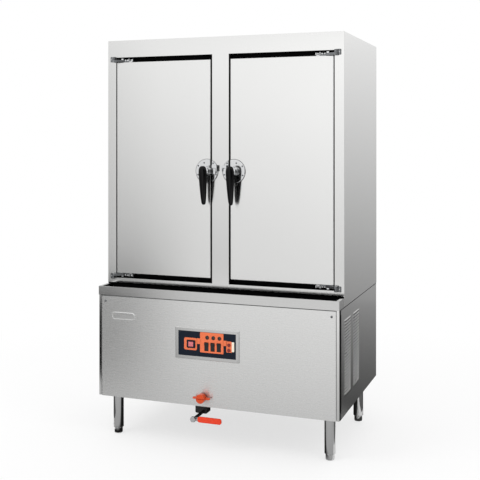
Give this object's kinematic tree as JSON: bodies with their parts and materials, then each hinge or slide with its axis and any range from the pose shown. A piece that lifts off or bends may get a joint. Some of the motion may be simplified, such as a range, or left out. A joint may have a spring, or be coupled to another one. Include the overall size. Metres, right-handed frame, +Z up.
{
  "type": "steamer cabinet",
  "caption": "Free-standing two-door stainless steam cabinet with lever latches, drip ledge, louvred base, control panel, drain lever and bullet feet.",
  "frame": {"origin": "on the floor, under the middle of the whole part's bounding box", "axes": "+X to the right seen from the front, +Y to the back, +Z up; the doors face -Y"},
  "size_m": [1.2048, 0.9, 1.935],
  "materials": {
    "stainless_sheet": "fine brushed",
    "inner_sheet": "mill finish",
    "bright_tube": "polished",
    "cast_fitting": "satin cast",
    "frame_steel": "dull",
    "black_rubber": "matt",
    "black_grip": "glossy",
    "black_moulding": "matt",
    "fascia_dark": "semi-gloss",
    "lamp_dark": "glossy lens",
    "power_red": "glossy",
    "button_red": "glossy",
    "knob_orange": "satin",
    "sleeve_orange": "satin",
    "brass_valve": "machined",
    "wool": "soft"
  },
  "bodies": {
    "cabinet": {"leg_tubes": "bright_tube", "base_frame": "frame_steel", "base_bottom_plate": "stainless_sheet", "base_front_panel": "stainless_sheet", "base_right_panel": "stainless_sheet", "base_left_panel": "stainless_sheet", "back_panels": "stainless_sheet", "drip_ledge": "stainless_sheet", "outer_wrap": "stainless_sheet", "front_frame": "stainless_sheet", "rubber_seals": "black_rubber", "chamber_liner": "inner_sheet", "insulation": "wool", "shelf_ladders": "inner_sheet", "shelves": "inner_sheet", "steam_grate": "inner_sheet", "water_tank": "inner_sheet", "heating_elements": "frame_steel", "float_valve": "brass_valve", "water_pipes": "frame_steel", "inlet_valve_body": "brass_valve", "drain_pipe": "frame_steel", "drain_valve_body": "black_moulding", "control_bezel": "stainless_sheet", "control_fascia": "fascia_dark", "indicator_lamps": "lamp_dark", "control_box": "frame_steel", "cable_gland": "black_moulding", "hinge_brackets": "cast_fitting", "latch_keepers": "cast_fitting"},
    "foot_front_left": {"foot_front_left": "bright_tube"},
    "foot_front_right": {"foot_front_right": "bright_tube"},
    "foot_rear_left": {"foot_rear_left": "bright_tube"},
    "foot_rear_right": {"foot_rear_right": "bright_tube"},
    "float_arm": {"float_arm": "brass_valve"},
    "inlet_knob": {"inlet_knob": "knob_orange"},
    "drain_lever": {"drain_spindle": "black_moulding", "drain_nut": "bright_tube", "drain_lever_bar": "stainless_sheet", "drain_lever_sleeve": "sleeve_orange"},
    "power_button": {"power_button": "power_red"},
    "start_button": {"start_button": "button_red"},
    "stop_button": {"stop_button": "button_red"},
    "rocker_1": {"rocker_1": "black_moulding"},
    "rocker_2": {"rocker_2": "black_moulding"},
    "rocker_3": {"rocker_3": "black_moulding"},
    "right_door": {"right_door_skin": "stainless_sheet", "right_door_pan": "inner_sheet", "right_door_core": "wool", "right_hinge_arms": "cast_fitting", "right_latch_plate": "cast_fitting"},
    "right_latch": {"right_latch_cam": "cast_fitting", "right_latch_grip": "black_grip"},
    "left_door": {"left_door_skin": "stainless_sheet", "left_door_pan": "inner_sheet", "left_door_core": "wool", "left_hinge_arms": "cast_fitting", "left_latch_plate": "cast_fitting"},
    "left_latch": {"left_latch_cam": "cast_fitting", "left_latch_grip": "black_grip"}
  },
  "joints": [
    {"name": "right_door_hinge", "type": "hinge", "parent": "cabinet", "child": "right_door", "pos_m": [0.564, -0.327, 1.3055], "axis": [0, 0, 1], "range_deg": [0, 110]},
    {"name": "right_latch_turn", "type": "hinge", "parent": "right_door", "child": "right_latch", "pos_m": [0.0685, -0.329, 1.295], "axis": [0, -1, 0], "range_deg": [-15, 90]},
    {"name": "left_door_hinge", "type": "hinge", "parent": "cabinet", "child": "left_door", "pos_m": [-0.564, -0.327, 1.3055], "axis": [0, 0, -1], "range_deg": [0, 110]},
    {"name": "left_latch_turn", "type": "hinge", "parent": "left_door", "child": "left_latch", "pos_m": [-0.0685, -0.329, 1.295], "axis": [0, 1, 0], "range_deg": [-15, 90]},
    {"name": "drain_lever_turn", "type": "hinge", "parent": "cabinet", "child": "drain_lever", "pos_m": [-0.086, -0.438, 0.148], "axis": [0, 1, 0], "range_deg": [0, 90]},
    {"name": "inlet_knob_turn", "type": "hinge", "parent": "cabinet", "child": "inlet_knob", "pos_m": [-0.052, -0.444, 0.244], "axis": [0, 1, 0], "range_deg": [0, 90]},
    {"name": "power_button_press", "type": "slide", "parent": "cabinet", "child": "power_button", "axis": [0, 1, 0], "range_m": [0, 0.0025], "stiffness_N_per_m": 800},
    {"name": "start_button_press", "type": "slide", "parent": "cabinet", "child": "start_button", "axis": [0, 1, 0], "range_m": [0, 0.0025], "stiffness_N_per_m": 800},
    {"name": "stop_button_press", "type": "slide", "parent": "cabinet", "child": "stop_button", "axis": [0, 1, 0], "range_m": [0, 0.0025], "stiffness_N_per_m": 800},
    {"name": "rocker_1_tilt", "type": "hinge", "parent": "cabinet", "child": "rocker_1", "pos_m": [-0.0325, -0.403, 0.4815], "axis": [-1, 0, 0], "range_deg": [0, 16]},
    {"name": "rocker_2_tilt", "type": "hinge", "parent": "cabinet", "child": "rocker_2", "pos_m": [-0.0015, -0.403, 0.4815], "axis": [-1, 0, 0], "range_deg": [0, 16]},
    {"name": "rocker_3_tilt", "type": "hinge", "parent": "cabinet", "child": "rocker_3", "pos_m": [0.0295, -0.403, 0.4815], "axis": [-1, 0, 0], "range_deg": [0, 16]},
    {"name": "foot_front_left_screw", "type": "slide", "parent": "cabinet", "child": "foot_front_left", "axis": [0, 0, -1], "range_m": [0, 0.02]},
    {"name": "foot_front_right_screw", "type": "slide", "parent": "cabinet", "child": "foot_front_right", "axis": [0, 0, -1], "range_m": [0, 0.02]},
    {"name": "foot_rear_left_screw", "type": "slide", "parent": "cabinet", "child": "foot_rear_left", "axis": [0, 0, -1], "range_m": [0, 0.02]},
    {"name": "foot_rear_right_screw", "type": "slide", "parent": "cabinet", "child": "foot_rear_right", "axis": [0, 0, -1], "range_m": [0, 0.02]},
    {"name": "float_arm_swing", "type": "hinge", "parent": "cabinet", "child": "float_arm", "pos_m": [-0.052, -0.1892, 0.66], "axis": [1, 0, 0], "range_deg": [0, 22]}
  ]
}
